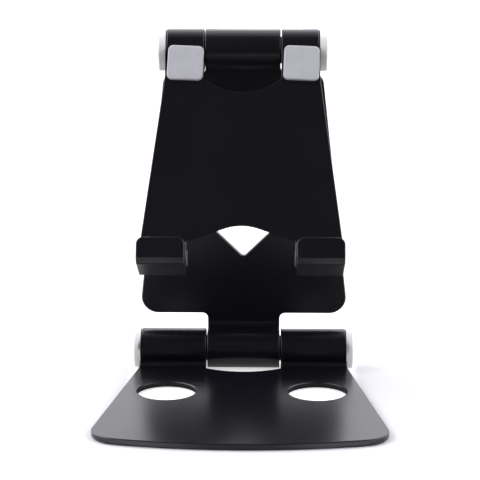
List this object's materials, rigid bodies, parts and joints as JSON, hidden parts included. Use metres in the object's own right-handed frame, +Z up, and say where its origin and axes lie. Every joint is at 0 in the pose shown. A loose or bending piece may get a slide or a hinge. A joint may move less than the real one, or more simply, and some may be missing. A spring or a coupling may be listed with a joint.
{
  "type": "phone stand",
  "caption": "Folding metal phone stand: a base plate, a forward-leaning arm and a hooked tray on two friction hinges.",
  "frame": {"origin": "on the surface the stand rests on, under the middle of its bounding box, with X = 0 on the mid-plane", "axes": "+Z up, -Y the front that the phone faces, both hinge axes along X, at the pictured pose"},
  "size_m": [0.095, 0.0946, 0.1226],
  "materials": {
    "black_coating": "satin black coating on aluminium plate",
    "bright_aluminium": "bright turned aluminium, satin",
    "pad_silicone": "light grey silicone, matte",
    "liner_silicone": "dark grey silicone, matte",
    "foot_rubber": "black rubber, matte",
    "zinc_steel": "zinc-plated steel",
    "spring_steel": "blued spring steel",
    "friction_polymer": "black filled polymer, matte",
    "acetal": "natural acetal, satin"
  },
  "bodies": {
    "base": {"base_plate": "black_coating", "base_foot_front_left": "foot_rubber", "base_foot_front_right": "foot_rubber", "base_foot_rear_left": "foot_rubber", "base_foot_rear_right": "foot_rubber", "lower_hinge_shaft": "zinc_steel", "lower_lock_nut": "zinc_steel", "lower_end_cap_left": "bright_aluminium", "lower_end_cap_right": "bright_aluminium", "lower_spring_washer_left": "spring_steel", "lower_spring_washer_right": "spring_steel", "lower_friction_washer_left": "friction_polymer", "lower_friction_washer_right": "friction_polymer"},
    "arm": {"arm_plate": "black_coating", "lower_barrel_bush_left": "acetal", "lower_barrel_bush_right": "acetal", "upper_barrel_bush_left": "acetal", "upper_barrel_bush_right": "acetal"},
    "tray": {"tray_plate": "black_coating", "tray_pad_left": "pad_silicone", "tray_pad_right": "pad_silicone", "hook_liner_left": "liner_silicone", "hook_liner_right": "liner_silicone", "upper_hinge_shaft": "zinc_steel", "upper_lock_nut": "zinc_steel", "upper_end_cap_left": "bright_aluminium", "upper_end_cap_right": "bright_aluminium", "upper_spring_washer_left": "spring_steel", "upper_spring_washer_right": "spring_steel", "upper_friction_washer_left": "friction_polymer", "upper_friction_washer_right": "friction_polymer"}
  },
  "joints": [
    {"name": "lower_hinge", "type": "hinge", "parent": "base", "child": "arm", "pos_m": [0, 0.0403, 0.0073], "axis": [1, 0, 0], "range_deg": [-90, 36]},
    {"name": "upper_hinge", "type": "hinge", "parent": "arm", "child": "tray", "pos_m": [0, 0.02796, 0.1156], "axis": [1, 0, 0], "range_deg": [-130, 39]}
  ]
}
